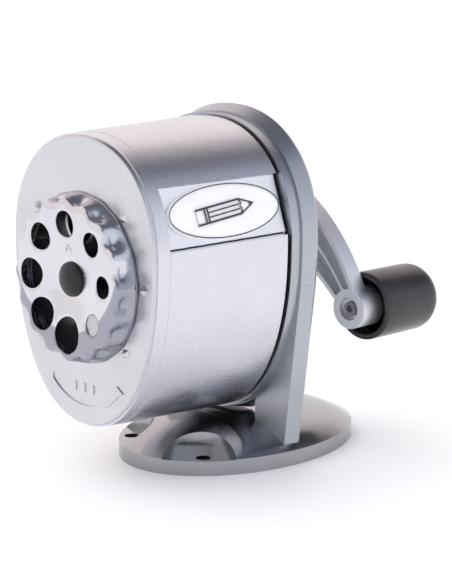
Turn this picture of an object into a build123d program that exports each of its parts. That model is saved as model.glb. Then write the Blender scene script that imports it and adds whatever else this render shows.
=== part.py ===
from build123d import *
import os
from math import atan, cos, pi, radians, sin, tan

os.makedirs("parts", exist_ok=True)

# Crank pencil sharpener, in millimetres. The size dial faces -Y, the crank is at the back (+Y), and +Z is up.
# The origin is the centre of the base's underside.

# ---------------------------------------------------------------- driving dimensions
# Base: an oval plate with a vertical rim and a low dome
BASE_RX, BASE_RY = 31.5, 43.1
RIM_H = 4.75
DOME_RISE = 8.6
DOME_POWER = 3.2
DOME_SHARES = (1.0, 0.92, 0.78, 0.58, 0.32)
SCREW_X, SCREW_Y, REAR_SCREW_Y = 16.5, 31.3, 34.3
SCREW_HOLE_R = 2.3
SPOT_FACE_R, SPOT_FACE_OUT = 11.4, 1.12
SPOT_FACE_Z = RIM_H - 0.2

# Body: an egg-shaped section that grows slightly towards the back
EGG_Z = 70.2
EGG_HALF_WIDTH = 32.1
EGG_TOP, EGG_BOTTOM = 33.7, 52.3
EGG_POWER = 2.2
DRAFT = atan(2.5 / 50.7)
WALL = 1.3

# Stations along Y, from the front to the back
FACE_Y = -64.0
PLATE_T = 1.1
RING_FRONT_Y = FACE_Y + PLATE_T
SHELL_FRONT_Y = -58.6
SHELL_REAR_Y = -13.8
BAND_FRONT_Y = -12.8
ARCH_FRONT_Y = -8.6
ARCH_WALL_Y = -4.8
ARCH_REAR_Y = -2.0
ARCH_FRONT_GROW = 3.6
BAND_WALL = 3.0
# Sections of the arch: station, growth over the body at the top, growth at the sides
ARCH_OUTLINE = ((ARCH_FRONT_Y, ARCH_FRONT_GROW, 3.6),
                (-3.3, 5.6, 4.4),
                (-2.4, 5.3, 4.1),
                (ARCH_REAR_Y, 4.6, 3.4))
ARCH_BOTTOM_Z = 13.8
BUSH_FRONT_Y, BUSH_REAR_Y, BOSS_REAR_Y = -15.3, 12.0, 9.0

# Legs of the arch
LEG_INNER_X = 16.3
LEG_TOP_Z, LEG_SEAT_Z = 57.0, 5.0
LEG_SLOPE = 0.125
LEG_SCREW_X, LEG_SCREW_R = 22.0, 1.6

# Size dial: eight holes round a centre post, the upper one on the crank's axis
DIAL_Z = 62.3
DIAL_PITCH_R = 16.2
HOLE_DIAMETERS = (8.2, 7.5, 6.8, 6.6, 11.2, 10.2, 9.5, 8.5)
DIAL_FRONT_Y, DIAL_BACK_Y = -70.4, -64.4
DIAL_FRONT_R, DIAL_BACK_R = 23.8, 25.6
DIAL_SHEET = 1.2
DIAL_DISH = 2.8
DISH_Y = DIAL_FRONT_Y + DIAL_DISH
RIVET_BACK_Y = -60.4
FLUTES = 16
SEAT_R = 23.2
RIVET_R = 2.5
RUN_GAP = 0.05
HUB_R, HUB_RISE = 5.1, 1.9

# Cutting head: two inclined cutters, whose axes meet the crank's axis at an apex behind the cage
AXIS_Z = DIAL_Z + DIAL_PITCH_R
APEX_Y = 8.5
CUTTER_TILT = 11.0
CUTTER_R = 6.0
CUTTER_TEETH = 10
CUTTER_START, CUTTER_END = 31.9, 61.2
PIN_R = 1.5
PIN_START = 27.9
RING_TEETH, PINION_TEETH = 40, 12
GEAR_START, GEAR_END = 62.3, 66.4
CAGE_R, CAGE_WALL = 20.6, 1.8
CAGE_SCREW_R = CAGE_R - 2.6
SHAFT_FRONT_Y = -18.4
CARRIER_REAR_Y, CARRIER_BACK_Y, CARRIER_NOSE_Y = -16.0, -20.8, -59.1
RETAINER_R = 22.6
GUIDE_R = 5.75

# Crank: a curved arm with a hollow knob on a pin
SHAFT_R = 4.0
BOSS_R, BUSH_R = 10.0, 6.5
ARM_Y, ARM_T, ARM_POCKET = 15.0, 6.0, 4.2
ARM_HUB_R, ARM_BOSS_R = 10.0, 6.3
KNOB_X, KNOB_Z = 33.7, 46.4
KNOB_R, KNOB_LENGTH, KNOB_WALL = 10.8, 27.6, 1.7
KNOB_PIN_R = 2.4
KNOB_SLEEVE_R, KNOB_SLEEVE_Y = 5.6, 4.0
KNOB_Y = ARM_Y + ARM_T + 0.6
PIN_TIP_Y = KNOB_Y + KNOB_LENGTH - 3.6

# Label on the flat that is pressed into each side of the receptacle
FLAT_TOP = (26.3, 89.9)
FLAT_BOTTOM = (31.9, 72.4)
FLAT_DEPTH = 0.9
LABEL_MIDDLE = (SHELL_REAR_Y - SHELL_FRONT_Y) / 2
BADGE_LENGTH, BADGE_HEIGHT = 42.6, 15.8


# ---------------------------------------------------------------- helpers
def save(piece, label):
    """Label the finished piece and write its STEP file."""
    piece.part.label = label
    export_step(piece.part, f"parts/{label}.step")


def across(y):
    """Plane facing the front at y: its x is +X and its y is +Z."""
    return Plane.XZ.offset(-y)


def draft_grow(y):
    """How much the body section has grown at y."""
    return (y - FACE_Y) * tan(DRAFT)


def egg(y, grow, side_grow=None):
    """Egg-shaped face across the body at y, grown by grow, and by side_grow sideways where that is given."""
    side_grow = grow if side_grow is None else side_grow
    points = []
    for step in range(32):
        angle = 2 * pi * step / 32
        c, s = cos(angle), sin(angle)
        height = EGG_TOP if s > 0 else EGG_BOTTOM
        x = (EGG_HALF_WIDTH + side_grow) * abs(c) ** (2 / EGG_POWER) * (1 if c > 0 else -1)
        z = (height + grow) * abs(s) ** (2 / EGG_POWER) * (1 if s > 0 else -1)
        points.append((x, EGG_Z + z))
    with BuildSketch(across(y)) as section:
        with BuildLine():
            Spline(points, periodic=True)
        make_face()
    return section.sketch


def egg_loft(y0, grow0, y1, grow1):
    """Solid between two egg sections."""
    with BuildPart() as solid:
        loft([egg(y0, grow0), egg(y1, grow1)], ruled=True)
    return solid.part


def flat_plane(side, depth=0.0):
    """Plane of the pressed flat: x runs to the back, y runs up the flat, z points out of the body."""
    rise = FLAT_TOP[1] - FLAT_BOTTOM[1]
    run = FLAT_BOTTOM[0] - FLAT_TOP[0]
    length = (rise**2 + run**2) ** 0.5
    out = Vector(side * rise / length, 0, run / length)
    back = (Vector(0, 1, 0) + out * tan(DRAFT)).normalized()
    normal = (out - Vector(0, 1, 0) * tan(DRAFT)).normalized()
    middle = Vector(side * (FLAT_TOP[0] + FLAT_BOTTOM[0]) / 2, 0, (FLAT_TOP[1] + FLAT_BOTTOM[1]) / 2)
    origin = middle + Vector(0, SHELL_FRONT_Y, 0) + out * draft_grow(SHELL_FRONT_Y) - normal * depth
    x_dir = back if side > 0 else back * -1
    return Plane(origin=origin, x_dir=x_dir, z_dir=normal), length


def gear_cones():
    """Half angles of the pinion's and the ring gear's pitch cones, in radians."""
    tilt = radians(CUTTER_TILT)
    pinion = atan(sin(tilt) / (RING_TEETH / PINION_TEETH - cos(tilt)))
    return pinion, pinion + tilt


def cutter_plane(side, distance):
    """Plane across a cutter's axis, distance from the apex; its z points to the front."""
    tilt = radians(CUTTER_TILT)
    out = Vector(0, -cos(tilt), side * sin(tilt))
    apex = Vector(0, APEX_Y, AXIS_Z)
    return Plane(origin=apex + out * distance, x_dir=(1, 0, 0), z_dir=out)


def toothed(plane, count, root, tip, root_share, tip_share, turn=0.0):
    """Toothed outline on plane: straight-sided teeth between the root and tip radii."""
    points = []
    for tooth in range(count):
        middle = turn + 2 * pi * tooth / count
        for radius, share, sign in ((root, root_share, -1), (tip, tip_share, -1),
                                    (tip, tip_share, 1), (root, root_share, 1)):
            angle = middle + sign * share * pi / count
            points.append((radius * cos(angle), radius * sin(angle)))
    with BuildSketch(plane) as section:
        with BuildLine():
            Polyline(points, close=True)
        make_face()
    return section.sketch


def round_bar(label, radius, y0, y1, x=0.0, z=AXIS_Z, bore=0.0):
    """Bar or tube along Y, written out as a piece of its own."""
    with BuildPart() as bar:
        with BuildSketch(across(y1)):
            with Locations((x, z)):
                Circle(radius)
                if bore:
                    Circle(bore, mode=Mode.SUBTRACT)
        extrude(amount=y1 - y0)
    save(bar, label)
    return bar.part


# ---------------------------------------------------------------- frame: arch, band, base
def leg(side):
    """One leg of the arch, from its seat in the base up into the egg-shaped part."""
    sections = []
    for y, _, side_grow in ARCH_OUTLINE:
        top_x = EGG_HALF_WIDTH * 0.982 + side_grow
        foot_x = top_x - LEG_SLOPE * (LEG_TOP_Z - LEG_SEAT_Z)
        with BuildSketch(across(y)) as section:
            with BuildLine():
                Polyline((side * LEG_INNER_X, LEG_SEAT_Z), (side * foot_x, LEG_SEAT_Z),
                         (side * top_x, LEG_TOP_Z), (side * LEG_INNER_X, LEG_TOP_Z), close=True)
            make_face()
        sections.append(section.sketch)
    with BuildPart() as solid:
        loft(sections, ruled=True)
    return solid.part


with BuildPart() as stand:
    loft([egg(y, grow, side_grow) for y, grow, side_grow in ARCH_OUTLINE], ruled=True)
    with Locations((0, 0, ARCH_BOTTOM_Z)):
        Box(60, 40, 20, align=(Align.CENTER, Align.CENTER, Align.MAX), mode=Mode.SUBTRACT)
    for side in (-1, 1):
        add(leg(side))
    inside = ARCH_FRONT_GROW - BAND_WALL
    add(egg_loft(ARCH_FRONT_Y - 1, inside, ARCH_WALL_Y, inside), mode=Mode.SUBTRACT)
    with BuildSketch(across(BOSS_REAR_Y)):
        with Locations((0, AXIS_Z)):
            Circle(BOSS_R)
    extrude(amount=BOSS_REAR_Y - ARCH_WALL_Y - 1)
    with Locations(across(BUSH_REAR_Y)):
        with Locations((0, AXIS_Z)):
            Hole(BUSH_R)
    with Locations(across(ARCH_REAR_Y)):
        with Locations((0, AXIS_Z)):
            with PolarLocations(CAGE_SCREW_R, 3, start_angle=90):
                CounterBoreHole(1.6, 3.1, 1.4)
    with Locations(Location((0, (ARCH_FRONT_Y + ARCH_REAR_Y) / 2, LEG_SEAT_Z), (180, 0, 0))):
        with GridLocations(2 * LEG_SCREW_X, 1, 2, 1):
            Hole(LEG_SCREW_R, 14)
save(stand, "stand")

with BuildPart() as mounting_ring:
    add(egg_loft(BAND_FRONT_Y, draft_grow(BAND_FRONT_Y) + 0.7, ARCH_FRONT_Y, ARCH_FRONT_GROW - 0.6))
    inside = draft_grow(BAND_FRONT_Y) + 0.7 - BAND_WALL
    add(egg_loft(BAND_FRONT_Y - 1, inside, ARCH_FRONT_Y + 1, inside), mode=Mode.SUBTRACT)
save(mounting_ring, "mounting_ring")

with BuildPart() as base:
    with BuildSketch():
        Ellipse(BASE_RX, BASE_RY)
    extrude(amount=RIM_H)
    for share in DOME_SHARES:
        with BuildSketch(Plane.XY.offset(RIM_H + DOME_RISE * (1 - share**DOME_POWER))):
            Ellipse(BASE_RX * share, BASE_RY * share)
    loft()
    for x, y in ((-SCREW_X, -SCREW_Y), (SCREW_X, -SCREW_Y), (0, REAR_SCREW_Y)):
        with BuildSketch(Plane.XY.offset(SPOT_FACE_Z)):
            with Locations((x * SPOT_FACE_OUT, y * SPOT_FACE_OUT)):
                Circle(SPOT_FACE_R)
        extrude(amount=DOME_RISE + 1, mode=Mode.SUBTRACT)
        with Locations((x, y, SPOT_FACE_Z)):
            Hole(SCREW_HOLE_R)
    with Locations(Location((0, (ARCH_FRONT_Y + ARCH_REAR_Y) / 2, 0), (180, 0, 0))):
        with GridLocations(2 * LEG_SCREW_X, 1, 2, 1):
            CounterSinkHole(LEG_SCREW_R, 2 * LEG_SCREW_R)
    for side in (-1, 1):
        add(leg(side), mode=Mode.SUBTRACT)
save(base, "base")

with BuildPart() as base_screws:
    with Locations(Location((0, (ARCH_FRONT_Y + ARCH_REAR_Y) / 2, 0), (180, 0, 0))):
        with GridLocations(2 * LEG_SCREW_X, 1, 2, 1):
            Cone(3.0, LEG_SCREW_R, 1.5, align=(Align.CENTER, Align.CENTER, Align.MAX), rotation=(180, 0, 0))
            Cylinder(1.55, 13.0, align=(Align.CENTER, Align.CENTER, Align.MAX))
save(base_screws, "base_screws")

with BuildPart() as gear_cage:
    cage_front = APEX_Y - GEAR_START * cos(gear_cones()[1])
    with BuildSketch(across(ARCH_WALL_Y)):
        with Locations((0, AXIS_Z)):
            Circle(CAGE_R)
            Circle(CAGE_R - CAGE_WALL, mode=Mode.SUBTRACT)
    extrude(amount=ARCH_WALL_Y - cage_front)
    with Locations((0, (SHELL_REAR_Y + cage_front) / 2 - 1, AXIS_Z)):
        Box(24, 31, 60, mode=Mode.SUBTRACT)
        Box(60, 31, 24, mode=Mode.SUBTRACT)
    with BuildSketch(across(ARCH_WALL_Y)):
        with Locations((0, AXIS_Z)):
            with PolarLocations(CAGE_SCREW_R, 3, start_angle=90):
                Circle(2.6)
    extrude(amount=6.0)
    with Locations(across(ARCH_WALL_Y)):
        with Locations((0, AXIS_Z)):
            with PolarLocations(CAGE_SCREW_R, 3, start_angle=90):
                Hole(1.3, 5.0)
save(gear_cage, "gear_cage")

with BuildPart() as cage_screws:
    with BuildSketch(across(ARCH_REAR_Y - 0.1)):
        with Locations((0, AXIS_Z)):
            with PolarLocations(CAGE_SCREW_R, 3, start_angle=90):
                Circle(3.0)
    extrude(amount=1.3)
    with BuildSketch(across(ARCH_REAR_Y - 1.0)):
        with Locations((0, AXIS_Z)):
            with PolarLocations(CAGE_SCREW_R, 3, start_angle=90):
                Circle(1.25)
    extrude(amount=6.0)
    with BuildSketch(across(ARCH_REAR_Y)):
        with Locations((0, AXIS_Z)):
            with PolarLocations(CAGE_SCREW_R, 3, start_angle=90):
                Rectangle(4.2, 0.7)
                Rectangle(0.7, 4.2)
    extrude(amount=0.8, mode=Mode.SUBTRACT)
save(cage_screws, "cage_screws")

with BuildPart() as ring_gear:
    cone = gear_cones()[1]
    sections = []
    for generator in (GEAR_START, GEAR_END):
        pitch = generator * sin(cone)
        module = 2 * pitch / RING_TEETH
        plane = across(APEX_Y - generator * cos(cone))
        centre = plane.origin + Vector(0, 0, AXIS_Z)
        hole = toothed(Plane(origin=centre, x_dir=plane.x_dir, z_dir=plane.z_dir),
                       RING_TEETH, pitch - 0.6 * module, pitch + 0.75 * module, 0.68, 0.40)
        sections.append(hole)
    with BuildSketch(across(APEX_Y - GEAR_START * cos(cone))):
        with Locations((0, AXIS_Z)):
            Circle(CAGE_R)
    extrude(amount=(GEAR_END - GEAR_START) * cos(cone))
    loft(sections, ruled=True, mode=Mode.SUBTRACT)
save(ring_gear, "ring_gear")

round_bar("shaft_bushing", BUSH_R, BUSH_FRONT_Y, BUSH_REAR_Y, bore=SHAFT_R + RUN_GAP)

# ---------------------------------------------------------------- crank with the cutter carrier
round_bar("crank_shaft", SHAFT_R, SHAFT_FRONT_Y, ARM_Y + ARM_T - 0.4)
round_bar("thrust_washer", 7.5, BUSH_REAR_Y + 0.3, ARM_Y - 0.2, bore=SHAFT_R + 0.1)

with BuildPart() as cutter_carrier:
    with BuildSketch(across(CARRIER_REAR_Y)):
        with Locations((0, AXIS_Z)):
            Circle(15.5)
    extrude(amount=CARRIER_REAR_Y - CARRIER_BACK_Y)
    with BuildSketch(across(CARRIER_NOSE_Y + 1.3)):
        with Locations((0, AXIS_Z)):
            Circle(16.6)
            Circle(GUIDE_R + 0.4, mode=Mode.SUBTRACT)
    extrude(amount=1.3)
    with Locations((0, (CARRIER_REAR_Y + CARRIER_NOSE_Y) / 2, AXIS_Z)):
        with GridLocations(2 * 13.2, 1, 2, 1):
            Box(3.6, CARRIER_REAR_Y - CARRIER_NOSE_Y, 6.0)
    with Locations(across(CARRIER_REAR_Y)):
        with Locations((0, AXIS_Z)):
            Hole(SHAFT_R)
    for side in (-1, 1):
        with BuildSketch(cutter_plane(side, PIN_START)):
            Circle(PIN_R)
        extrude(amount=APEX_Y - CARRIER_NOSE_Y + 5 - PIN_START, mode=Mode.SUBTRACT)
save(cutter_carrier, "cutter_carrier")

with BuildPart() as cutter_pins:
    for side in (-1, 1):
        with BuildSketch(cutter_plane(side, PIN_START)):
            Circle(PIN_R)
        extrude(amount=APEX_Y - CARRIER_NOSE_Y + 0.9 - PIN_START)
save(cutter_pins, "cutter_pins")

with BuildPart() as crank_arm:
    with BuildSketch(across(ARM_Y + ARM_T)) as arm_outline:
        with BuildLine():
            ThreePointArc((0, AXIS_Z + 8.6), (25.3, AXIS_Z - 10.1), (KNOB_X + 3.6, KNOB_Z + 1.2))
            Line((KNOB_X + 3.6, KNOB_Z + 1.2), (KNOB_X - 4.2, KNOB_Z + 0.5))
            ThreePointArc((KNOB_X - 4.2, KNOB_Z + 0.5), (15.8, AXIS_Z - 19.5), (-4.0, AXIS_Z - 6.0))
            Line((-4.0, AXIS_Z - 6.0), (0, AXIS_Z + 8.6))
        make_face()
        with Locations((0, AXIS_Z)):
            Circle(ARM_HUB_R)
        with Locations((KNOB_X, KNOB_Z)):
            Circle(ARM_BOSS_R)
    extrude(amount=ARM_T)
    with BuildSketch(across(ARM_Y + ARM_POCKET)):
        offset(arm_outline.sketch, amount=-1.4)
        with Locations((0, AXIS_Z)):
            Circle(ARM_HUB_R, mode=Mode.SUBTRACT)
        with Locations((KNOB_X, KNOB_Z)):
            Circle(ARM_BOSS_R, mode=Mode.SUBTRACT)
    extrude(amount=ARM_POCKET, mode=Mode.SUBTRACT)
    with BuildSketch(across(ARM_Y + ARM_POCKET + 0.3)):
        with BuildLine():
            ThreePointArc((0, AXIS_Z + 0.5), (20.6, AXIS_Z - 15.0), (KNOB_X, KNOB_Z))
        trace(line_width=0.9)
    extrude(amount=ARM_POCKET - 0.6)
    with BuildSketch(across(ARM_Y + ARM_T + 3.4)):
        with Locations((KNOB_X, KNOB_Z)):
            Circle(ARM_BOSS_R)
    extrude(amount=3.4)
    with Locations(across(ARM_Y + 30)):
        with Locations((0, AXIS_Z)):
            Hole(SHAFT_R)
        with Locations((KNOB_X, KNOB_Z)):
            Hole(KNOB_PIN_R)
    with BuildSketch(across(ARM_Y + 2.0)):
        with Locations((KNOB_X, KNOB_Z)):
            Circle(3.6)
    extrude(amount=3.0, mode=Mode.SUBTRACT)
save(crank_arm, "crank_arm")

with BuildPart() as crank_screw:
    with BuildSketch(across(ARM_Y + ARM_T + 2.6)):
        with Locations((0, AXIS_Z)):
            Circle(5.2)
    extrude(amount=2.6)
    fillet(crank_screw.edges().group_by(Axis.Y)[-1], 1.0)
    with BuildSketch(across(ARM_Y + ARM_T + 2.6)):
        with Locations((0, AXIS_Z)):
            Rectangle(6.4, 1.1)
            Rectangle(1.1, 6.4)
    extrude(amount=1.5, mode=Mode.SUBTRACT)
save(crank_screw, "crank_screw")

# ---------------------------------------------------------------- knob and its pin
with BuildPart() as knob_pin:
    with BuildSketch(across(PIN_TIP_Y)):
        with Locations((KNOB_X, KNOB_Z)):
            Circle(KNOB_PIN_R)
    extrude(amount=PIN_TIP_Y - ARM_Y - 0.6)
    with BuildSketch(across(PIN_TIP_Y)):
        with Locations((KNOB_X, KNOB_Z)):
            Circle(3.6)
            Circle(KNOB_PIN_R, mode=Mode.SUBTRACT)
    extrude(amount=1.2)
    with BuildSketch(across(ARM_Y + 1.8)):
        with Locations((KNOB_X, KNOB_Z)):
            RegularPolygon(1.3, 6)
    extrude(amount=1.3, mode=Mode.SUBTRACT)
save(knob_pin, "knob_pin")

round_bar("knob_washer", 5.0, ARM_Y + ARM_T + 3.5, KNOB_Y + KNOB_SLEEVE_Y - 0.1,
          KNOB_X, KNOB_Z, KNOB_PIN_R + 0.1)

with BuildPart() as crank_knob:
    mouth_r, bore_r, end = KNOB_R - KNOB_WALL, KNOB_PIN_R + RUN_GAP, KNOB_LENGTH
    with BuildSketch(Plane.XY):
        with BuildLine():
            Polyline((0, end), (0, end - 3.0), (4.2, end - 3.0), (4.2, end - 5.8), (bore_r, end - 5.8),
                     (bore_r, KNOB_SLEEVE_Y), (KNOB_SLEEVE_R, KNOB_SLEEVE_Y), (KNOB_SLEEVE_R, end - 2.4),
                     (mouth_r, end - 2.4), (mouth_r, 0), (KNOB_R, 0), (KNOB_R, end - 3.4), (KNOB_R - 0.8, end - 1.7),
                     (KNOB_R - 2.6, end - 0.6), (KNOB_R - 5.4, end), (0, end))
        make_face()
    revolve(axis=Axis.Y)
    with BuildSketch(Plane.XZ.offset(2.4 - end)):
        with PolarLocations((mouth_r + KNOB_SLEEVE_R) / 2, 6):
            Rectangle(mouth_r - KNOB_SLEEVE_R + 0.4, 1.0)
    extrude(amount=end - 10.0)
crank_knob.part = crank_knob.part.moved(Location((KNOB_X, KNOB_Y, KNOB_Z)))
save(crank_knob, "crank_knob")

# ---------------------------------------------------------------- cutters and their gears
for number, side in ((1, 1), (2, -1)):
    with BuildPart() as cutter:
        steps = 6
        twist = radians(70)
        sections = []
        for step in range(steps + 1):
            distance = CUTTER_START + (CUTTER_END - CUTTER_START) * step / steps
            sections.append(toothed(cutter_plane(side, distance), CUTTER_TEETH, CUTTER_R - 0.9, CUTTER_R,
                                    0.9, 0.25, twist * step / steps))
        loft(sections, ruled=True)
        with BuildSketch(cutter_plane(side, CUTTER_START)):
            Circle(PIN_R + RUN_GAP)
        extrude(amount=CUTTER_END - CUTTER_START, mode=Mode.SUBTRACT)
    save(cutter, f"cutter_{number}")

    with BuildPart() as pinion:
        cone = gear_cones()[0]
        sections = []
        for generator in (GEAR_START, GEAR_END):
            pitch = generator * sin(cone)
            module = 2 * pitch / PINION_TEETH
            plane = cutter_plane(side, generator * cos(cone))
            sections.append(toothed(plane, PINION_TEETH, pitch - 0.8 * module, pitch + 0.55 * module,
                                    0.64, 0.28, pi / 2))
        loft(sections, ruled=True)
        with BuildSketch(cutter_plane(side, CUTTER_END)):
            Circle(3.2)
        extrude(amount=GEAR_START * cos(cone) - CUTTER_END + 0.5)
        with BuildSketch(cutter_plane(side, CUTTER_END)):
            Circle(PIN_R + RUN_GAP)
        extrude(amount=10, mode=Mode.SUBTRACT)
    save(pinion, f"cutter_gear_{number}")

# ---------------------------------------------------------------- receptacle
with BuildPart() as retaining_spring:
    with BuildSketch(across(-9.3)):
        with Locations((0, AXIS_Z)):
            Circle(RETAINER_R)
            Circle(RETAINER_R - 0.8, mode=Mode.SUBTRACT)
            with Locations((0, -RETAINER_R)):
                Rectangle(7, 6, mode=Mode.SUBTRACT)
    extrude(amount=3.0)
save(retaining_spring, "retaining_spring")

with BuildPart() as shell_core:
    add(egg_loft(SHELL_FRONT_Y - 1, draft_grow(SHELL_FRONT_Y - 1) - WALL,
                 SHELL_REAR_Y + 1, draft_grow(SHELL_REAR_Y + 1) - WALL))
    for side in (-1, 1):
        plane, length = flat_plane(side, FLAT_DEPTH + WALL)
        with BuildSketch(plane):
            Rectangle(140, length + 2 * WALL)
        extrude(amount=12, mode=Mode.SUBTRACT)

with BuildPart() as receptacle_shell:
    add(egg_loft(SHELL_FRONT_Y, draft_grow(SHELL_FRONT_Y), SHELL_REAR_Y, draft_grow(SHELL_REAR_Y)))
    for side in (-1, 1):
        plane, length = flat_plane(side, FLAT_DEPTH)
        with BuildSketch(plane):
            Rectangle(140, length)
        extrude(amount=12, mode=Mode.SUBTRACT)
    add(shell_core.part, mode=Mode.SUBTRACT)
save(receptacle_shell, "receptacle_shell")

with BuildPart() as label_plate:
    plane, length = flat_plane(1, FLAT_DEPTH)
    with BuildSketch(plane):
        with Locations((LABEL_MIDDLE + 0.1, 0.5)):
            Rectangle(SHELL_REAR_Y - SHELL_FRONT_Y - 0.6, length - 1.2)
    extrude(amount=0.7)
save(label_plate, "label_plate")

with BuildPart() as label_badge:
    plane, length = flat_plane(1, FLAT_DEPTH - 0.7)
    with BuildSketch(plane):
        with Locations((LABEL_MIDDLE + 0.3, 0.5)):
            Ellipse(BADGE_LENGTH / 2, BADGE_HEIGHT / 2)
    extrude(amount=0.5)
save(label_badge, "label_badge")

with BuildPart() as front_ring:
    ring_grow = draft_grow(RING_FRONT_Y) - 0.1, draft_grow(SHELL_FRONT_Y) - 0.1
    add(egg_loft(RING_FRONT_Y, ring_grow[0], SHELL_FRONT_Y, ring_grow[1]))
    add(egg_loft(RING_FRONT_Y - 1, -BAND_WALL, SHELL_FRONT_Y + 1, -BAND_WALL), mode=Mode.SUBTRACT)
save(front_ring, "front_ring")

with BuildPart() as front_plate:
    add(egg_loft(FACE_Y, -0.9, RING_FRONT_Y, -0.5))
    fillet(front_plate.faces().sort_by(Axis.Y)[0].edges(), 0.6)
    with Locations(across(FACE_Y)):
        with Locations((0, DIAL_Z)):
            Hole(SEAT_R + 0.1)
    for angle in (0, 45, 135, 180, 225, 315):
        for height, size in ((0.0, 1.7), (1.3, 0.3)):
            with BuildSketch(across(FACE_Y - height)):
                with Locations((0, DIAL_Z)):
                    with PolarLocations(27.4, 1, start_angle=angle):
                        RegularPolygon(size, 4)
        loft()
    with BuildSketch(across(FACE_Y)):
        with BuildLine():
            ThreePointArc((-14.6, 30.2), (0.6, 23.8), (15.8, 30.6))
        trace(line_width=1.2)
        with Locations(Location((-14.9, 30.5), 50), Location((16.1, 31.0), -5)):
            RegularPolygon(1.9, 3)
        with Locations((0.5, 29.6)):
            with GridLocations(4.0, 1, 3, 1):
                Rectangle(0.9, 2.8)
    extrude(amount=0.35)
save(front_plate, "front_plate")

with BuildPart() as dial_seat:
    with BuildSketch(across(RING_FRONT_Y)):
        with Locations((0, DIAL_Z)):
            Circle(SEAT_R)
    extrude(amount=PLATE_T)
    with BuildSketch(across(RING_FRONT_Y + 1.4)):
        with Locations((0, DIAL_Z)):
            Circle(SEAT_R + 1.6)
    extrude(amount=1.4)
    with Locations(across(FACE_Y)):
        with Locations((0, AXIS_Z)):
            Hole(GUIDE_R + 0.9)
        with Locations((0, DIAL_Z)):
            Hole(RIVET_R)
save(dial_seat, "dial_seat")

round_bar("pencil_guide", GUIDE_R + 0.9, FACE_Y, -59.6, bore=GUIDE_R)

with BuildPart() as detent_spring:
    with BuildSketch(across(FACE_Y)):
        with Locations((0, DIAL_Z)):
            Circle(5.5)
            for angle in (158, 203, 293, 338):
                with Locations(Location((0, 0), angle)):
                    Trapezoid(17.5, 5.5, 82, align=(Align.MIN, Align.CENTER))
            Circle(RIVET_R, mode=Mode.SUBTRACT)
    extrude(amount=0.4)
save(detent_spring, "detent_spring")

with BuildPart() as dial_rivet:
    with BuildSketch(across(RIVET_BACK_Y)):
        with Locations((0, DIAL_Z)):
            Circle(RIVET_R)
    extrude(amount=RIVET_BACK_Y - DISH_Y + 0.5)
    with BuildSketch(across(RIVET_BACK_Y)):
        with Locations((0, DIAL_Z)):
            Circle(4.2)
    extrude(amount=1.1)
    with BuildSketch(across(DISH_Y - 0.1)):
        with Locations((0, DIAL_Z)):
            Circle(3.6)
    extrude(amount=0.7)
save(dial_rivet, "dial_rivet")

# ---------------------------------------------------------------- size dial
with BuildPart() as selector_dial:
    with BuildSketch(Plane.YZ):
        with BuildLine():
            y0, y1 = DIAL_FRONT_Y, DIAL_FRONT_Y + DIAL_SHEET
            Polyline((DISH_Y, 0), (DISH_Y, 6.0), (y0, 11.5), (y0, 21.0))
            ThreePointArc((y0, 21.0), (y0 + 0.8, 23.0), (y0 + 2.8, DIAL_FRONT_R))
            Polyline((y0 + 2.8, DIAL_FRONT_R), (DIAL_BACK_Y, DIAL_BACK_R), (DIAL_BACK_Y, DIAL_BACK_R - 1.7),
                     (y1 + 2.0, DIAL_FRONT_R - 1.7), (y1, 20.6), (y1, 12.0), (DISH_Y + DIAL_SHEET, 6.4),
                     (DISH_Y + DIAL_SHEET, 0), (DISH_Y, 0))
        make_face()
    revolve(axis=Axis.Y)
    with BuildSketch(Plane.XZ.offset(-DIAL_FRONT_Y - 3.4)):
        with PolarLocations(DIAL_FRONT_R + 2.6, FLUTES, start_angle=11.25):
            Circle(3.2)
    extrude(amount=5, mode=Mode.SUBTRACT)
    for index, diameter in enumerate(HOLE_DIAMETERS):
        with Locations(Plane.XZ.offset(-DIAL_FRONT_Y)):
            with PolarLocations(DIAL_PITCH_R, 1, start_angle=90 - 45 * index):
                Hole(diameter / 2, 5)
    with Locations(Plane.XZ.offset(-DIAL_FRONT_Y)):
        Hole(RIVET_R + RUN_GAP, 8)
selector_dial.part = selector_dial.part.moved(Location((0, 0, DIAL_Z)))
save(selector_dial, "selector_dial")

with BuildPart() as dial_cap:
    with BuildSketch(Plane.XZ.offset(-DISH_Y)):
        Circle(HUB_R)
    extrude(amount=HUB_RISE)
    fillet(dial_cap.edges().group_by(Axis.Y)[0], 1.6)
    with BuildSketch(Plane.XZ.offset(-DISH_Y)):
        Circle(3.9)
    extrude(amount=1.1, mode=Mode.SUBTRACT)
dial_cap.part = dial_cap.part.moved(Location((0, 0, DIAL_Z)))
save(dial_cap, "dial_cap")
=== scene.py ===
import math

import bmesh
import bpy
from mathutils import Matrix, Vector
from mathutils.geometry import delaunay_2d_cdt


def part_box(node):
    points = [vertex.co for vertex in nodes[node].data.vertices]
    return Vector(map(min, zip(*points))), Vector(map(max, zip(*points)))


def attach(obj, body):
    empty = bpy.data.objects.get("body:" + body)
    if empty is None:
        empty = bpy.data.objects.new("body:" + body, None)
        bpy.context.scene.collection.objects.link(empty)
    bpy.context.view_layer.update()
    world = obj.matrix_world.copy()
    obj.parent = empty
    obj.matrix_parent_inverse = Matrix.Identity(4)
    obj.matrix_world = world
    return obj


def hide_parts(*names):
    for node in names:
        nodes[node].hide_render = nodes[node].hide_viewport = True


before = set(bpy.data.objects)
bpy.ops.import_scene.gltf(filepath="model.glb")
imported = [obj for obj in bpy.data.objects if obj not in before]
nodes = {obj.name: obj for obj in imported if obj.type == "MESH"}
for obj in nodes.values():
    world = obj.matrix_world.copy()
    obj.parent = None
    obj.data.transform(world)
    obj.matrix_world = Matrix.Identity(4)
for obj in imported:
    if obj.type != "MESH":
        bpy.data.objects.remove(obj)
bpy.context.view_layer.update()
MM = 0.001

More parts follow.
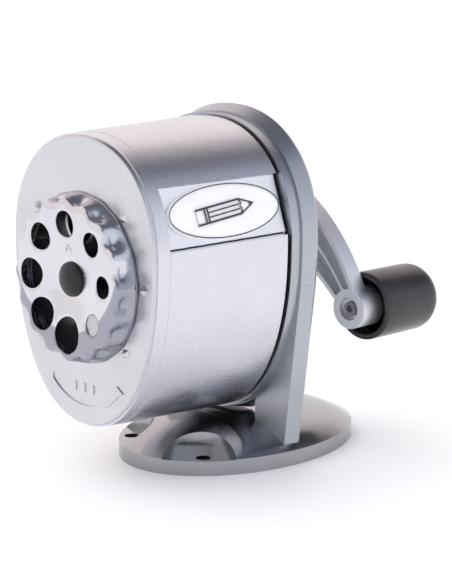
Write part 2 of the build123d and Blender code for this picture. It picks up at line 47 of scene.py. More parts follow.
# The camera stands at the front right, a little above the object; places in metres
AZIMUTH, ELEVATION = math.radians(45.4), math.radians(11.2)
DISTANCE = 0.476
AIM = Vector((0.0, -0.0053, 0.0499))
LENS_MM = 92.5
SENSOR_MM = 36.0


def make_camera():
    """Camera that looks at AIM from the azimuth and elevation."""
    data = bpy.data.cameras.new("camera")
    data.lens = LENS_MM
    data.sensor_width = SENSOR_MM
    camera = bpy.data.objects.new("camera", data)
    bpy.context.scene.collection.objects.link(camera)
    forward = Vector((-math.sin(AZIMUTH) * math.cos(ELEVATION),
                      math.cos(AZIMUTH) * math.cos(ELEVATION),
                      -math.sin(ELEVATION)))
    camera.location = AIM - forward * DISTANCE
    camera.rotation_euler = forward.to_track_quat("-Z", "Y").to_euler()
    bpy.context.scene.camera = camera


make_camera()


# ---------------------------------------------------------------- node materials
# Noise scales are in features per metre and bump depths in metres
METAL_CLOUDS, PLASTIC_CLOUDS, ENAMEL_CLOUDS, FLOOR_CLOUDS = 55.0, 90.0, 140.0, 3.0
PLASTIC_GRAIN, ENAMEL_GRAIN, ENAMEL_DEPTH = 2600.0, 1500.0, 0.000006
METAL_BUMP, PLASTIC_BUMP, ENAMEL_BUMP = 0.35, 0.3, 0.15
ENAMEL_COAT, ENAMEL_SHADE, ENAMEL_ROUGH = 0.4, 0.965, (0.24, 0.34)
FLOOR_ROUGH = 0.7


def even(value):
    """The same value for the three axes or colours."""
    return (value, value, value)


def new_material(name):
    """Empty material: its tree, its Principled shader and its object coordinates."""
    material = bpy.data.materials.new(name)
    material.use_nodes = True
    tree = material.node_tree
    return material, tree, tree.nodes["Principled BSDF"], tree.nodes.new("ShaderNodeTexCoord")


def noise(tree, coords, scale, detail):
    """Noise in object space, stretched by the three scales."""
    mapping = tree.nodes.new("ShaderNodeMapping")
    mapping.inputs["Scale"].default_value = scale
    texture = tree.nodes.new("ShaderNodeTexNoise")
    texture.inputs["Scale"].default_value = 1.0
    texture.inputs["Detail"].default_value = detail
    texture.inputs["Roughness"].default_value = 0.6
    tree.links.new(coords.outputs["Object"], mapping.inputs["Vector"])
    tree.links.new(mapping.outputs["Vector"], texture.inputs["Vector"])
    return texture.outputs["Fac"]


def spread(tree, value, low, high):
    """Noise value turned into the range low to high."""
    ranged = tree.nodes.new("ShaderNodeMapRange")
    ranged.inputs["From Min"].default_value = 0.3
    ranged.inputs["From Max"].default_value = 0.7
    ranged.inputs["To Min"].default_value = low
    ranged.inputs["To Max"].default_value = high
    tree.links.new(value, ranged.inputs["Value"])
    return ranged.outputs["Result"]


def ramp_of(tree, value, stops):
    """Colour ramp through (place, colour) stops."""
    ramp = tree.nodes.new("ShaderNodeValToRGB")
    elements = ramp.color_ramp.elements
    while len(elements) < len(stops):
        elements.new(0.5)
    for element, (place, colour) in zip(elements, stops):
        element.position = place
        element.color = (*colour, 1.0)
    tree.links.new(value, ramp.inputs["Fac"])
    return ramp.outputs["Color"]


def mix_node(tree, share):
    """Colour mix node driven by share."""
    mix = tree.nodes.new("ShaderNodeMix")
    mix.data_type = "RGBA"
    tree.links.new(share, mix.inputs[0])
    return mix


def mixed(tree, share, first, second):
    """Two colours mixed by share."""
    mix = mix_node(tree, share)
    tree.links.new(first, mix.inputs[6])
    tree.links.new(second, mix.inputs[7])
    return mix.outputs[2]


def blend_colours(tree, value, first, second):
    """Colour between first and second, as a noise value goes from low to high."""
    return ramp_of(tree, value, ((0.35, first), (0.65, second)))


def bump(tree, shader, height, strength, distance):
    """Bump on the shader's normal."""
    node = tree.nodes.new("ShaderNodeBump")
    node.inputs["Strength"].default_value = strength
    node.inputs["Distance"].default_value = distance
    tree.links.new(height, node.inputs["Height"])
    tree.links.new(node.outputs["Normal"], shader.inputs["Normal"])


def metal(name, colour, rough, grain, grain_depth=0.000004, shade=0.93, rough_spread=0.05):
    """Satin metal with a fine grain, faint clouding of its colour and uneven gloss."""
    material, tree, shader, coords = new_material(name)
    shader.inputs["Metallic"].default_value = 1.0
    darker = tuple(part * shade for part in colour)
    clouds = noise(tree, coords, even(METAL_CLOUDS), 3.0)
    tree.links.new(blend_colours(tree, clouds, darker, colour), shader.inputs["Base Color"])
    fine = noise(tree, coords, grain, 5.0)
    gloss = spread(tree, fine, rough - rough_spread, rough + rough_spread)
    tree.links.new(gloss, shader.inputs["Roughness"])
    bump(tree, shader, fine, METAL_BUMP, grain_depth)
    return material


def chrome_with_painted_shade(name, face, painted_shade, rough, grain, corner, axis_z):
    """Metal of the size dial: its face colour, and a darker colour of painted shade beyond the radius corner
    round axis_z.
    """
    corner_width = 0.0005
    material = metal(name, face, rough, grain)
    tree = material.node_tree
    shader = tree.nodes["Principled BSDF"]
    coords = tree.nodes.new("ShaderNodeTexCoord")
    from_axis = tree.nodes.new("ShaderNodeVectorMath")
    from_axis.operation = "SUBTRACT"
    from_axis.inputs[1].default_value = (0.0, 0.0, axis_z)
    across = tree.nodes.new("ShaderNodeVectorMath")
    across.operation = "MULTIPLY"
    across.inputs[1].default_value = (1.0, 0.0, 1.0)
    radius = tree.nodes.new("ShaderNodeVectorMath")
    radius.operation = "LENGTH"
    tree.links.new(coords.outputs["Object"], from_axis.inputs[0])
    tree.links.new(from_axis.outputs["Vector"], across.inputs[0])
    tree.links.new(across.outputs["Vector"], radius.inputs[0])
    share = tree.nodes.new("ShaderNodeMapRange")
    share.inputs["From Min"].default_value = corner
    share.inputs["From Max"].default_value = corner + corner_width
    tree.links.new(radius.outputs["Value"], share.inputs["Value"])
    mix = mix_node(tree, share.outputs["Result"])
    # Painted shade: this darker colour is used beyond the corner radius
    mix.inputs[7].default_value = (*painted_shade, 1.0)
    tree.links.new(shader.inputs["Base Color"].links[0].from_socket, mix.inputs[6])
    tree.links.new(mix.outputs[2], shader.inputs["Base Color"])
    return material


def plastic(name, colour, rough, grain=PLASTIC_GRAIN, depth=0.000012, specular=0.5):
    """Moulded plastic with a fine texture."""
    material, tree, shader, coords = new_material(name)
    shader.inputs["Specular IOR Level"].default_value = specular
    lighter = tuple(min(1.0, part * 1.5 + 0.004) for part in colour)
    clouds = noise(tree, coords, even(PLASTIC_CLOUDS), 4.0)
    tree.links.new(blend_colours(tree, clouds, colour, lighter), shader.inputs["Base Color"])
    fine = noise(tree, coords, even(grain), 3.0)
    tree.links.new(spread(tree, fine, rough - 0.05, rough + 0.07), shader.inputs["Roughness"])
    bump(tree, shader, fine, PLASTIC_BUMP, depth)
    return material


def enamel(name, colour):
    """Glossy printed enamel with faint unevenness."""
    material, tree, shader, coords = new_material(name)
    shader.inputs["Coat Weight"].default_value = ENAMEL_COAT
    darker = tuple(part * ENAMEL_SHADE for part in colour)
    clouds = noise(tree, coords, even(ENAMEL_CLOUDS), 3.0)
    tree.links.new(blend_colours(tree, clouds, darker, colour), shader.inputs["Base Color"])
    fine = noise(tree, coords, even(ENAMEL_GRAIN), 2.0)
    tree.links.new(spread(tree, fine, *ENAMEL_ROUGH), shader.inputs["Roughness"])
    bump(tree, shader, fine, ENAMEL_BUMP, ENAMEL_DEPTH)
    return material


# Size dial, in millimetres: its front and its axis are read from the CAD dial
dial_low, dial_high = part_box("selector_dial")
DIAL_FRONT = dial_low.y / MM
DIAL_AXIS_Z = (dial_low.z + dial_high.z) / 2 / MM
# The darker colour is painted shade. It stands in for the dark studio mirrored in the dial and lies outside a
# circle round the body's axis. That axis is above the dial's, so the painted shade covers the dial's wall and
# also the lower part of its face.
SHADE_RADIUS, SHADE_AXIS_Z = 22.8, 70.2

CAST = metal("cast_metal_satin", (0.455, 0.475, 0.51), 0.33, even(2400.0))
DOME = metal("base_polished", (0.41, 0.41, 0.43), 0.17, even(1500.0), grain_depth=0.000002, rough_spread=0.03)
ARM = metal("arm_satin", (0.93, 0.94, 0.97), 0.44, even(3000.0), grain_depth=0.000006)
SHELL = metal("shell_satin", (0.70, 0.70, 0.745), 0.28, (3200.0, 200.0, 3200.0),
              grain_depth=0.0000014, shade=0.96, rough_spread=0.03)
PLATE = metal("plate_satin", (0.62, 0.625, 0.66), 0.30, even(3600.0), grain_depth=0.000006)
FLAT = metal("label_strip_brushed", (0.96, 0.96, 0.98), 0.36, (500.0, 6500.0, 260.0), grain_depth=0.000008)
# The second colour is painted shade on the dial's wall and lower face, not a different metal
DIAL = chrome_with_painted_shade("dial_chrome_painted_shade", (0.66, 0.66, 0.70), (0.33, 0.34, 0.385), 0.15, even(1200.0),
                      SHADE_RADIUS * MM, SHADE_AXIS_Z * MM)
STEEL = metal("zinc_steel", (0.60, 0.60, 0.61), 0.30, even(2200.0), grain_depth=0.000006, shade=0.85)
TOOL_STEEL = metal("tool_steel", (0.34, 0.34, 0.36), 0.28, (900.0, 4200.0, 900.0),
                   grain_depth=0.00001, shade=0.8)
BRONZE = metal("sintered_bronze", (0.52, 0.36, 0.18), 0.42, even(5200.0), grain_depth=0.00002, shade=0.8)
BLACK = plastic("black_plastic", (0.017, 0.016, 0.019), 0.24)
HUB = plastic("hub_gloss", (0.009, 0.009, 0.011), 0.13, grain=1400.0, depth=0.000004, specular=0.3)
# Painted shadow: near-black colour of the strip laid where the label strip's gap is in shade
PAINTED_GAP_SHADE = plastic("gap_painted_shadow", (0.010, 0.010, 0.012), 0.55)
WHITE = enamel("badge_white", (0.92, 0.92, 0.93))
INK = enamel("badge_ink", (0.035, 0.035, 0.04))

CAD_MATERIALS = {
    CAST: ["stand", "mounting_ring", "cutter_carrier"],
    DOME: ["base"],
    ARM: ["crank_arm"],
    SHELL: ["receptacle_shell", "front_ring"],
    PLATE: ["front_plate"],
    FLAT: ["label_plate"],
    DIAL: ["selector_dial"],
    WHITE: ["label_badge"],
    BLACK: ["crank_knob", "dial_seat"],
    HUB: ["dial_cap"],
    STEEL: ["gear_cage", "base_screws", "cage_screws", "thrust_washer", "crank_screw", "knob_washer",
            "retaining_spring", "pencil_guide", "detent_spring", "dial_rivet"],
    TOOL_STEEL: ["ring_gear", "crank_shaft", "cutter_pins", "knob_pin", "cutter_1", "cutter_2",
                 "cutter_gear_1", "cutter_gear_2"],
    BRONZE: ["shaft_bushing"],
}


def dress(node, material):
    """Give a CAD node its material."""
    slots = nodes[node].data.materials
    slots.clear()
    slots.append(material)


for material, names in CAD_MATERIALS.items():
    for name in names:
        dress(name, material)


# ---------------------------------------------------------------- pieces in mesh code
def add_piece(name, vertices, faces, body, material, replaced=()):
    """Mesh piece in millimetre coordinates that rides on body."""
    mesh = bpy.data.meshes.new(name)
    mesh.from_pydata([Vector(v) * MM for v in vertices], [], faces)
    mesh.validate()
    mesh.polygons.foreach_set("use_smooth", [True] * len(mesh.polygons))
    mesh.materials.append(material)
    piece = bpy.data.objects.new(name, mesh)
    bpy.context.scene.collection.objects.link(piece)
    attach(piece, body)
    if replaced:
        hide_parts(*replaced)
    return piece


def thicken(piece, thickness, outward):
    """Thickness behind a skin whose faces are turned to look along outward first."""
    sheet = bmesh.new()
    sheet.from_mesh(piece.data)
    loose = [v for v in sheet.verts if not v.link_faces]
    bmesh.ops.delete(sheet, geom=loose, context="VERTS")
    bmesh.ops.recalc_face_normals(sheet, faces=sheet.faces)
    total = sum((face.normal * face.calc_area() for face in sheet.faces), Vector((0, 0, 0)))
    if total.dot(outward) < 0:
        bmesh.ops.reverse_faces(sheet, faces=sheet.faces)
    sheet.to_mesh(piece.data)
    sheet.free()
    solid = piece.modifiers.new("sheet", "SOLIDIFY")
    solid.thickness = thickness * MM
    solid.offset = -1.0
    solid.use_even_offset = False
    solid.use_rim = True


def flatten_sharp(piece, degrees):
    """Smooth shading that breaks at edges sharper than degrees."""
    mesh = bmesh.new()
    mesh.from_mesh(piece.data)
    limit = math.radians(degrees)
    for edge in mesh.edges:
        edge.smooth = edge.is_manifold and edge.calc_face_angle(0.0) < limit
    bmesh.ops.recalc_face_normals(mesh, faces=mesh.faces)
    mesh.to_mesh(piece.data)
    mesh.free()


def revolved(profile, segments, centre):
    """Vertices and faces of a profile of (radius, y) turned about a Y axis through centre."""
    vertices, faces, rows = [], [], []
    for radius, y in profile:
        if radius < 1e-6:
            rows.append([len(vertices)])
            vertices.append((centre[0], y, centre[2]))
            continue
        row = []
        for step in range(segments):
            angle = 2 * math.pi * step / segments
            row.append(len(vertices))
            vertices.append((centre[0] + radius * math.cos(angle), y, centre[2] + radius * math.sin(angle)))
        rows.append(row)
    for first, second in zip(rows, rows[1:]):
        for step in range(segments):
            a, b = first[step % len(first)], first[(step + 1) % len(first)]
            c, d = second[(step + 1) % len(second)], second[step % len(second)]
            if len(first) == 1:
                faces.append((a, c, d))
            elif len(second) == 1:
                faces.append((a, b, c))
            else:
                faces.append((a, b, c, d))
    return vertices, faces


def smooth_step(value, low, high):
    """0 below low, 1 above high, smooth between."""
    share = min(1.0, max(0.0, (value - low) / (high - low)))
    return share * share * (3 - 2 * share)


# ---------------------------------------------------------------- size dial, in millimetres
# The holes lie as in the CAD dial, each narrowed by its rolled edge; the face is dished and the wall lobed
DIAL_PITCH = 16.2
DIAL_HOLES = (8.2, 7.5, 6.8, 6.6, 11.2, 10.2, 9.5, 8.5)
HOLE_NARROWED = 0.3
HOLE_SEGMENTS, BORE_SEGMENTS = 56, 48
ROLL_WIDTH, ROLL_DEPTH = 1.1, 0.42
ROLL_RINGS = (0.0, 0.18, 0.4, 0.7, ROLL_WIDTH)
ROLL_CLEAR = 1.35
DIAL_SHEET = 1.1
# Meridian of the dial: distance along it, radius, depth behind the front
DIAL_MERIDIAN = ((3.0, 3.0, 2.9), (5.2, 5.2, 2.75), (8.0, 8.0, 2.1), (11.0, 11.0, 1.25), (14.0, 14.0, 0.55),
                 (17.0, 17.0, 0.12), (19.5, 19.5, 0.0), (21.0, 21.0, 0.03), (22.0, 21.97, 0.12),
                 (22.8, 22.7, 0.42), (23.3, 23.05, 0.78), (23.8, 23.25, 1.24), (25.0, 23.6, 2.4),
                 (27.4, 24.5, 4.5), (28.9, 25.1, 6.0))
# Rows of points along the meridian, closer where it bends
DIAL_ROWS = (4.0, 5.2, 6.6, 8.0, 9.2, 10.4, 11.6, 12.8, 14.0, 15.2, 16.4, 17.6, 18.8, 19.8, 20.5, 21.2, 21.8,
             22.4, 22.9, 23.4, 23.9, 24.4, 25.0, 25.7, 26.5, 27.3, 28.1)
DIAL_LOBES = 16
LOBE_SEGMENTS, FACE_SEGMENTS = 12, 6
LOBED_FROM, STAGGERED_TO = 18, 20
# Where along the meridian the lobes and the valleys between them rise and fade, and how far they reach
LOBE_RISE, LOBE_FADE, LOBE_FADED = (20.4, 23.2), (24.2, 28.4), 0.8
LOBE_REACH, LOBE_DROP = 0.6, 0.25
VALLEY_RISE, VALLEY_FADE, VALLEY_REACH = (23.0, 24.6), (25.6, 27.9), 0.6


def meridian(distance):
    """Radius and depth of the dial's sheet at a distance along its meridian."""
    for (d0, r0, y0), (d1, r1, y1) in zip(DIAL_MERIDIAN, DIAL_MERIDIAN[1:]):
        if distance <= d1 + 1e-6:
            share = (distance - d0) / (d1 - d0)
            return r0 + (r1 - r0) * share, y0 + (y1 - y0) * share
    return DIAL_MERIDIAN[-1][1:]


def dial_point(u, v, holes):
    """Point of the dial's front skin; u and v are flat coordinates whose length is the meridian distance."""
    distance = math.hypot(u, v)
    angle = math.atan2(v, u)
    radius, depth = meridian(distance)
    wave = math.cos(DIAL_LOBES * angle)
    lobe = smooth_step(distance, *LOBE_RISE) * (1 - LOBE_FADED * smooth_step(distance, *LOBE_FADE))
    radius += LOBE_REACH * lobe * wave
    depth += LOBE_DROP * lobe * (1 - wave)
    valley = smooth_step(distance, *VALLEY_RISE) * (1 - smooth_step(distance, *VALLEY_FADE))
    radius -= VALLEY_REACH * valley * (0.5 - 0.5 * wave) ** 2
    for hole_u, hole_v, hole_r in holes:
        edge = math.hypot(u - hole_u, v - hole_v) - hole_r
        if edge < ROLL_WIDTH:
            depth += ROLL_DEPTH * (1 - max(0.0, edge) / ROLL_WIDTH) ** 2
    return (radius * math.cos(angle), DIAL_FRONT + depth, DIAL_AXIS_Z + radius * math.sin(angle))


def dial_holes():
    """Flat centre and radius of each hole, clockwise from the top."""
    holes = []
    for index, diameter in enumerate(DIAL_HOLES):
        angle = math.radians(90 - 360 / len(DIAL_HOLES) * index)
        radius = diameter / 2 - HOLE_NARROWED
        holes.append((DIAL_PITCH * math.cos(angle), DIAL_PITCH * math.sin(angle), radius))
    return holes


def dial_grid(holes):
    """Flat points and edges of the dial's sheet: its two rims, rings round its holes, and rows between."""
    points, edges = [], []

    def closed_ring(centre_u, centre_v, radius, count):
        start = len(points)
        for step in range(count):
            angle = 2 * math.pi * step / count
            points.append(Vector((centre_u + radius * math.cos(angle), centre_v + radius * math.sin(angle))))
        edges.extend((start + step, start + (step + 1) % count) for step in range(count))

    closed_ring(0, 0, DIAL_MERIDIAN[-1][0], DIAL_LOBES * LOBE_SEGMENTS)
    closed_ring(0, 0, DIAL_MERIDIAN[0][0], BORE_SEGMENTS)
    for hole_u, hole_v, hole_r in holes:
        for rolled in ROLL_RINGS:
            closed_ring(hole_u, hole_v, hole_r + rolled, HOLE_SEGMENTS)
    for row, distance in enumerate(DIAL_ROWS):
        count = DIAL_LOBES * (LOBE_SEGMENTS if distance > LOBED_FROM else FACE_SEGMENTS)
        offset = 0.5 * (row % 2) * (distance < STAGGERED_TO)
        for step in range(count):
            angle = 2 * math.pi * (step + offset) / count
            u, v = distance * math.cos(angle), distance * math.sin(angle)
            clear = min(math.hypot(u - hole_u, v - hole_v) - hole_r for hole_u, hole_v, hole_r in holes)
            if clear > ROLL_CLEAR:
                points.append(Vector((u, v)))
    return points, edges


def make_dial():
    """Pressed dial: a triangulated sheet round its holes, shaped by dial_point and given its thickness."""
    holes = dial_holes()
    points, edges = dial_grid(holes)
    flat_points, _, flat_faces, _, _, _ = delaunay_2d_cdt(points, edges, [], 0, 1e-5)
    inner, outer = DIAL_MERIDIAN[0][0], DIAL_MERIDIAN[-1][0]
    kept = []
    for face in flat_faces:
        middle = sum((flat_points[i] for i in face), Vector((0, 0))) / len(face)
        in_hole = any(math.hypot(middle.x - hole_u, middle.y - hole_v) < hole_r * 0.998
                      for hole_u, hole_v, hole_r in holes)
        if inner * 0.999 < middle.length < outer and not in_hole:
            kept.append(tuple(face))
    vertices = [dial_point(point.x, point.y, holes) for point in flat_points]
    dial = add_piece("dial_pressed", vertices, kept, "dial", DIAL, ("selector_dial",))
    thicken(dial, DIAL_SHEET, Vector((0, -1, 0)))


HUB_STEPS, HUB_SEGMENTS = 15, 64
HUB_LIP, HUB_POWER = 0.35, 1.15


def make_hub():
    """Domed hub on the dial's centre."""
    low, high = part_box("dial_cap")
    middle = (low + high) / 2 / MM
    front, back, radius = low.y / MM, high.y / MM, (high.x - low.x) / 2 / MM
    rise = back - front - HUB_LIP
    profile = [(0.0, front)]
    for step in range(1, HUB_STEPS):
        angle = math.radians(90 * step / HUB_STEPS)
        profile.append((radius * math.sin(angle), back - HUB_LIP - rise * math.cos(angle) ** HUB_POWER))
    profile += [(radius, back - 0.3), (radius * 0.985, back), (0.0, back)]
    vertices, faces = revolved(profile, HUB_SEGMENTS, middle)
    add_piece("dial_hub", vertices, faces, "dial", HUB, ("dial_cap",))


POINTER_PATH = ((-1.5, 8.1), (0.0, 10.2), (1.5, 8.1))
POINTER_HALF, POINTER_TIP, POINTER_SUNK = 0.42, 0.2816, 0.12
POINTER_STEPS, POINTER_RING = 8, 8


def make_pointer():
    """Small raised chevron on the dial, under its top hole."""
    vertices, faces = [], []
    for (x0, z0), (x1, z1) in zip(POINTER_PATH, POINTER_PATH[1:]):
        side = Vector((0, 1, 0)).cross(Vector((x1 - x0, 0, z1 - z0)).normalized())
        start = len(vertices)
        for step in range(POINTER_STEPS + 1):
            share = step / POINTER_STEPS
            x, z = x0 + (x1 - x0) * share, z0 + (z1 - z0) * share
            y = DIAL_FRONT + meridian(math.hypot(x, z))[1] + POINTER_SUNK
            size = POINTER_TIP if step in (0, POINTER_STEPS) else POINTER_HALF
            for corner in range(POINTER_RING):
                angle = 2 * math.pi * corner / POINTER_RING
                offset = side * size * math.cos(angle) + Vector((0, -1, 0)) * size * math.sin(angle)
                vertices.append((x + offset.x, y + offset.y, DIAL_AXIS_Z + z + offset.z))
        for step in range(POINTER_STEPS):
            for corner in range(POINTER_RING):
                a = start + step * POINTER_RING + corner
                b = start + step * POINTER_RING + (corner + 1) % POINTER_RING
                faces.append((a, b, b + POINTER_RING, a + POINTER_RING))
        end = start + POINTER_STEPS * POINTER_RING
        faces.append(tuple(start + corner for corner in range(POINTER_RING)))
        faces.append(tuple(end + corner for corner in range(POINTER_RING)))
    add_piece("dial_pointer", vertices, faces, "dial", DIAL, ())


# ---------------------------------------------------------------- crank knob, in millimetres
KNOB_WALL = 1.7
KNOB_FLOOR = 2.6
# The rounded end as (share of the radius, distance in from the tip)
KNOB_END = ((0.0, 0.0), (0.25, 0.03), (0.45, 0.16), (0.6, 0.42), (0.72, 0.85), (0.83, 1.5), (0.91, 2.35),
            (0.965, 3.4), (0.992, 4.7), (1.0, 6.2))
# The rolled mouth as (distance in from the radius, distance in from the mouth)
KNOB_MOUTH = ((0.0, 8.0), (0.0, 1.0), (0.08, 0.4), (0.3, 0.1), (0.6, 0.0), (KNOB_WALL - 0.4, 0.0),
              (KNOB_WALL - 0.1, 0.1), (KNOB_WALL, 0.4), (KNOB_WALL, 4.0))
KNOB_SEGMENTS, SLEEVE_SEGMENTS = 96, 64
SLEEVE_BORE, SLEEVE_R, SLEEVE_IN = 2.6, 5.6, 4.0
KNOB_RIBS, RIB_HALF, RIB_IN = 6, 0.5, 7.6


def make_knob():
    """Hollow knob with a rounded end and a rolled mouth, and the ribbed sleeve inside it."""
    low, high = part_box("crank_knob")
    middle = (low + high) / 2 / MM
    mouth, tip, radius = low.y / MM, high.y / MM, (high.x - low.x) / 2 / MM
    floor_y = tip - KNOB_FLOOR
    profile = [(radius * share, tip - inward) for share, inward in KNOB_END]
    profile += [(radius - step, mouth + inward) for step, inward in KNOB_MOUTH]
    profile += [(radius - KNOB_WALL, floor_y), (0.0, floor_y)]
    vertices, faces = revolved(profile, KNOB_SEGMENTS, middle)
    knob = add_piece("knob_shell", vertices, faces, "knob", BLACK, ("crank_knob",))

    sleeve_y, end_y = mouth + SLEEVE_IN, floor_y - 0.1
    sleeve = [(SLEEVE_BORE, sleeve_y), (SLEEVE_R - 0.3, sleeve_y), (SLEEVE_R, sleeve_y + 0.3),
              (SLEEVE_R, end_y), (SLEEVE_BORE, end_y), (SLEEVE_BORE, sleeve_y)]
    vertices, faces = revolved(sleeve, SLEEVE_SEGMENTS, middle)
    rib_low, rib_high = SLEEVE_R - 0.3, radius - KNOB_WALL + 0.3
    for rib in range(KNOB_RIBS):
        angle = 2 * math.pi * rib / KNOB_RIBS
        along = Vector((math.cos(angle), 0, math.sin(angle)))
        side = Vector((-math.sin(angle), 0, math.cos(angle))) * RIB_HALF
        start = len(vertices)
        for y in (mouth + RIB_IN, end_y):
            for reach, sign in ((rib_low, -1), (rib_high, -1), (rib_high, 1), (rib_low, 1)):
                place = middle + along * reach + side * sign
                vertices.append((place.x, y, place.z))
        for face in ((0, 1, 2, 3), (7, 6, 5, 4), (0, 4, 5, 1), (1, 5, 6, 2), (2, 6, 7, 3), (3, 7, 4, 0)):
            faces.append(tuple(start + corner for corner in face))
    core = add_piece("knob_core", vertices, faces, "knob", BLACK, ())
    flatten_sharp(knob, 50)
    flatten_sharp(core, 30)


# ---------------------------------------------------------------- badge print, in millimetres
RIM_INSET, RIM_WIDTH, RIM_POINTS = 0.32, 0.32, 96
PRINT_RISE, PRINT_STEP, PRINT_SUNK = 0.06, 0.004, 0.01
# Pencil drawing: half length, half width, length of its point, and the band behind its eraser
PENCIL_HALF, PENCIL_SIDE, PENCIL_NOSE = 11.2, 2.15, 5.4
PENCIL_FACET, ERASER, BAND = 0.68, 3.4, 1.1
PENCIL_LEAN = math.radians(6.0)
THICK_LINE, MIDDLE_LINE, THIN_LINE, LEAD_LINE = 0.62, 0.5, 0.4, 0.8


def badge_frame():
    """Middle of the badge's face, directions to the back and up the flat, normal and the two half sizes."""
    low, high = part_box("label_badge")
    centre = (low + high) / 2 / MM
    points = [Vector(v.co) / MM for v in nodes["label_badge"].data.vertices]
    front, back = min(points, key=lambda p: p.y), max(points, key=lambda p: p.y)
    bottom, top = min(points, key=lambda p: p.z), max(points, key=lambda p: p.z)
    along = (back - front).normalized()
    up = top - bottom
    up = (up - along * up.dot(along)).normalized()
    normal = along.cross(up)
    if normal.x < 0:
        normal = -normal
    height = max((p - centre).dot(normal) for p in points)
    half_along = max((p - centre).dot(along) for p in points)
    half_up = max((p - centre).dot(up) for p in points)
    return centre + normal * height, along, up, normal, half_along, half_up


def ribbon(outline, face, width, rise, closed):
    """Printed line of a width along an outline of (along, up) points, standing rise over the face."""
    centre, along, up, normal = face
    vertices, faces = [], []
    count = len(outline)
    for index, (a, b) in enumerate(outline):
        before, after = outline[index - 1], outline[(index + 1) % count]
        if not closed and index == 0:
            before, after = outline[0], outline[1]
        if not closed and index == count - 1:
            before, after = outline[-2], outline[-1]
        tangent = Vector((after[0] - before[0], after[1] - before[1])).normalized()
        side = Vector((-tangent.y, tangent.x)) * width / 2
        for sign in (-1, 1):
            for lift in (0.0, rise):
                place = centre + along * (a + sign * side.x) + up * (b + sign * side.y) + normal * lift
                vertices.append(tuple(place))
    for index in range(count if closed else count - 1):
        a, b = 4 * index, 4 * ((index + 1) % count)
        faces += [(a + 1, b + 1, b + 3, a + 3), (a, b, b + 1, a + 1)]
        faces += [(a + 2, a + 3, b + 3, b + 2), (a, a + 2, b + 2, b)]
    if not closed:
        end = 4 * (count - 1)
        faces += [(0, 1, 3, 2), (end, end + 2, end + 3, end + 1)]
    return vertices, faces


def leaned(points):
    """Points of the pencil drawing turned to its lean."""
    cosine, sine = math.cos(PENCIL_LEAN), math.sin(PENCIL_LEAN)
    return [(a * cosine - b * sine, a * sine + b * cosine) for a, b in points]


def pencil_lines():
    """Lines of the pencil drawing, each with its points, its width and whether it is closed."""
    side, facet = PENCIL_SIDE, PENCIL_FACET
    tail, eraser, band = -PENCIL_HALF, -PENCIL_HALF + ERASER, -PENCIL_HALF + ERASER + BAND
    wood, scallop = PENCIL_HALF - PENCIL_NOSE, PENCIL_HALF - PENCIL_NOSE + 0.7
    outline = [(tail, -side), (wood, -side), (PENCIL_HALF, 0.0), (wood, side), (tail, side)]
    wood_edge = [(wood, -side), (scallop, -facet), (wood, 0.0), (scallop, facet), (wood, side)]
    lead = [(PENCIL_HALF - 1.7, -0.5), (PENCIL_HALF - 0.9, 0.0), (PENCIL_HALF - 1.7, 0.5)]
    return [(outline, THICK_LINE, True),
            ([(eraser, -side), (eraser, side)], MIDDLE_LINE, False),
            ([(band, -side), (band, side)], MIDDLE_LINE, False),
            ([(band, facet), (wood, facet)], THIN_LINE, False),
            ([(band, -facet), (wood, -facet)], THIN_LINE, False),
            (wood_edge, THIN_LINE, False),
            (lead, LEAD_LINE, False)]


def make_badge_print():
    """Dark rim line of the badge and a plain outline drawing of a pencil in its middle."""
    centre, along, up, normal, half_along, half_up = badge_frame()
    face = (centre - normal * PRINT_SUNK, along, up, normal)
    rim = []
    for step in range(RIM_POINTS):
        angle = 2 * math.pi * step / RIM_POINTS
        rim.append(((half_along - RIM_INSET) * math.cos(angle), (half_up - RIM_INSET) * math.sin(angle)))
    lines = [(rim, RIM_WIDTH, True)]
    lines += [(leaned(points), width, closed) for points, width, closed in pencil_lines()]
    vertices, faces = [], []
    for index, (points, width, closed) in enumerate(lines):
        more, more_faces = ribbon(points, face, width, PRINT_RISE + PRINT_STEP * index, closed)
        start = len(vertices)
        vertices += more
        faces += [tuple(start + corner for corner in corners) for corners in more_faces]
    add_piece("badge_print", vertices, faces, "receptacle", INK, ())


# ---------------------------------------------------------------- painted shadow in the label gap, in millimetres
GAP_WIDTH, GAP_RISE, GAP_SUNK = 0.45, 0.07, 0.3
GAP_STEPS, GAP_INSET = 24, 0.4
SEARCH_STEP, SEARCH_BELOW = 0.1, 3
OUTSIDE_X = 80.0


def skin_hit(node, y, z):
    """How far out in X a node's skin lies on the label's side at (y, z)."""
    hit, place, _, _ = nodes[node].ray_cast(Vector((OUTSIDE_X, y, z)) * MM, Vector((-1, 0, 0)))
    return place.x / MM if hit else -100.0


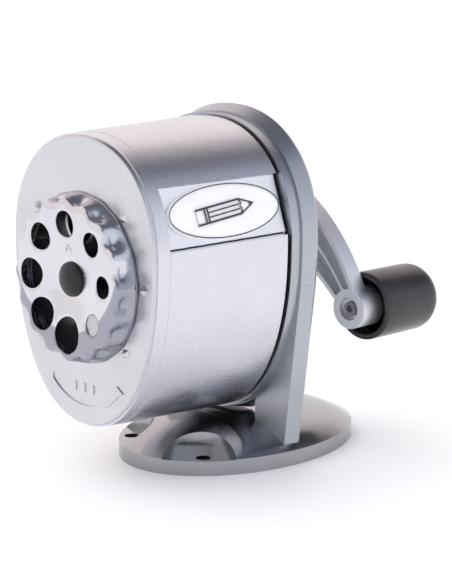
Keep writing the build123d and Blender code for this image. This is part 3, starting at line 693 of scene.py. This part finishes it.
def make_label_gap_shade():
    """Dark strip of painted shadow along the lower edge of the label strip, laid on the shell's skin."""
    low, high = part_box("label_plate")
    badge_low, badge_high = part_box("label_badge")
    start_z = (badge_low.z + badge_high.z) / 2 / MM
    lowest_z = low.z / MM - SEARCH_BELOW
    first, last = low.y / MM + GAP_INSET, high.y / MM - GAP_INSET
    vertices, faces = [], []
    for step in range(GAP_STEPS + 1):
        y = first + (last - first) * step / GAP_STEPS
        z = start_z
        while z > lowest_z and skin_hit("label_plate", y, z) >= skin_hit("receptacle_shell", y, z):
            z -= SEARCH_STEP
        for drop in (0.0, -GAP_WIDTH):
            out = max(skin_hit("receptacle_shell", y, z + drop), skin_hit("label_plate", y, z + drop))
            for lift in (-GAP_SUNK, GAP_RISE):
                vertices.append((out + lift, y, z + drop))
    for step in range(GAP_STEPS):
        a, b = 4 * step, 4 * step + 4
        faces += [(a + 1, a + 3, b + 3, b + 1), (a, b, b + 2, a + 2)]
        faces += [(a, a + 1, b + 1, b), (a + 2, b + 2, b + 3, a + 3)]
    end = 4 * GAP_STEPS
    faces += [(0, 2, 3, 1), (end, end + 1, end + 3, end + 2)]
    # The strip's dark colour is painted shadow
    add_piece("label_gap_painted_shadow", vertices, faces, "receptacle", PAINTED_GAP_SHADE, ())


make_label_gap_shade()
make_dial()
make_hub()
make_pointer()
make_knob()
make_badge_print()


# ---------------------------------------------------------------- stage and light
FLOOR_HALF = 60.0
# Colours across the studio from the left (0) to the right (1): the walls, and what lies below and above them
WALLS = ((0.0, (1.15, 1.04, 1.03)), (0.36, (1.2, 1.08, 1.06)), (0.46, (0.78, 0.68, 0.68)),
         (0.56, (0.10, 0.095, 0.10)), (0.63, (0.16, 0.17, 0.21)), (0.72, (0.38, 0.42, 0.52)),
         (0.84, (0.72, 0.75, 0.86)), (1.0, (0.85, 0.88, 0.98)))
BELOW = ((0.0, (1.1, 1.04, 1.03)), (0.5, (1.0, 1.0, 1.0)), (1.0, (0.88, 0.92, 1.02)))
ABOVE = ((0.0, (0.34, 0.33, 0.35)), (0.5, (0.16, 0.17, 0.21)), (1.0, (0.30, 0.34, 0.42)))
# Heights, as the Z part of a direction, over which the walls begin and end
WALLS_BEGIN, WALLS_END = (0.24, 0.44), (0.72, 0.86)


def make_stage():
    """Pale floor."""
    mesh = bpy.data.meshes.new("floor")
    half = FLOOR_HALF
    corners = [(-half, -half, 0), (half, -half, 0), (half, half, 0), (-half, half, 0)]
    mesh.from_pydata(corners, [], [(0, 1, 2, 3)])
    floor = bpy.data.objects.new("floor", mesh)
    bpy.context.scene.collection.objects.link(floor)
    material, tree, shader, coords = new_material("floor_pale")
    clouds = noise(tree, coords, even(FLOOR_CLOUDS), 2.0)
    tree.links.new(blend_colours(tree, clouds, even(0.90), even(0.92)), shader.inputs["Base Color"])
    shader.inputs["Roughness"].default_value = FLOOR_ROUGH
    mesh.materials.append(material)


def make_world():
    """Studio seen in the metal: warm bright wall to the left, dark panel behind, cool wall to the right."""
    world = bpy.data.worlds.new("studio")
    bpy.context.scene.world = world
    world.use_nodes = True
    tree = world.node_tree
    coords = tree.nodes.new("ShaderNodeTexCoord")
    split = tree.nodes.new("ShaderNodeSeparateXYZ")
    tree.links.new(coords.outputs["Generated"], split.inputs["Vector"])
    across = tree.nodes.new("ShaderNodeMapRange")
    across.inputs["From Min"].default_value = -1.0
    tree.links.new(split.outputs["X"], across.inputs["Value"])
    walls, below, above = (ramp_of(tree, across.outputs["Result"], stops) for stops in (WALLS, BELOW, ABOVE))
    begin, end = (ramp_of(tree, split.outputs["Z"], ((first, even(0.0)), (last, even(1.0))))
                  for first, last in (WALLS_BEGIN, WALLS_END))
    colour = mixed(tree, end, mixed(tree, begin, below, walls), above)
    tree.links.new(colour, tree.nodes["Background"].inputs["Color"])
    tree.nodes["Background"].inputs["Strength"].default_value = 1.0


def sun(name, strength, spread_degrees, direction):
    """Very soft distant light that comes from direction and isn't mirrored in the metal."""
    data = bpy.data.lights.new(name, "SUN")
    data.energy = strength
    data.angle = math.radians(spread_degrees)
    light = bpy.data.objects.new(name, data)
    light.rotation_euler = (-Vector(direction)).to_track_quat("-Z", "Y").to_euler()
    light.visible_glossy = False
    bpy.context.scene.collection.objects.link(light)


make_stage()
make_world()
sun("key", 1.5, 80, (-0.15, -0.25, 1.0))
sun("fill", 0.9, 120, (0.2, -0.1, 1.0))
bpy.context.scene.view_settings.view_transform = "Standard"
